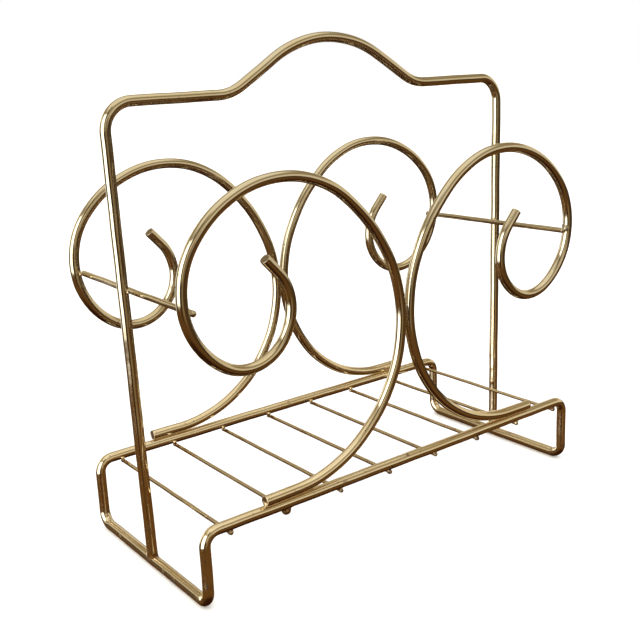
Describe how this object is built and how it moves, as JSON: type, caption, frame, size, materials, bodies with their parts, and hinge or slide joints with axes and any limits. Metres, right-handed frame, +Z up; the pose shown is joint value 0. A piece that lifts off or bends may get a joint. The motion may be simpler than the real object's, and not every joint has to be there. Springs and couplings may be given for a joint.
{
  "type": "magazine rack",
  "caption": "Brass-finished wire magazine rack: a rung deck on two sled feet, scrolls along both long sides and one tall carrying handle.",
  "frame": {"origin": "on the floor, under the middle of the rack", "axes": "+X along the rack's length to the right, +Y from the front side to the rear, +Z up"},
  "size_m": [0.313, 0.1376, 0.3067],
  "materials": {
    "wire": "polished brass plate over steel wire, aged, with fine pits and brown tarnish near the joints",
    "weld": "plated weld beads, duller and a little rough"
  },
  "bodies": {
    "root": {"base_frame": "wire", "handle_frame": "wire", "scroll_front_left": "wire", "scroll_front_right": "wire", "scroll_rear_left": "wire", "scroll_rear_right": "wire", "rung_1": "wire", "rung_2": "wire", "rung_3": "wire", "rung_4": "wire", "rung_5": "wire", "rung_6": "wire", "rung_7": "wire", "rung_8": "wire", "tie_rod_left": "wire", "tie_rod_right": "wire", "weld_rung_1_front": "weld", "weld_rung_2_front": "weld", "weld_rung_3_front": "weld", "weld_rung_4_front": "weld", "weld_rung_5_front": "weld", "weld_rung_6_front": "weld", "weld_rung_7_front": "weld", "weld_rung_8_front": "weld", "weld_rung_1_rear": "weld", "weld_rung_2_rear": "weld", "weld_rung_3_rear": "weld", "weld_rung_4_rear": "weld", "weld_rung_5_rear": "weld", "weld_rung_6_rear": "weld", "weld_rung_7_rear": "weld", "weld_rung_8_rear": "weld", "weld_tail_front_left": "weld", "weld_tail_front_right": "weld", "weld_middle_front": "weld", "weld_tail_rear_left": "weld", "weld_tail_rear_right": "weld", "weld_middle_rear": "weld", "weld_tie_front_left": "weld", "weld_tie_rear_left": "weld", "weld_tie_leg_left": "weld", "weld_foot_left": "weld", "weld_tie_front_right": "weld", "weld_tie_rear_right": "weld", "weld_tie_leg_right": "weld", "weld_foot_right": "weld", "weld_base_seam": "weld"}
  },
  "joints": []
}
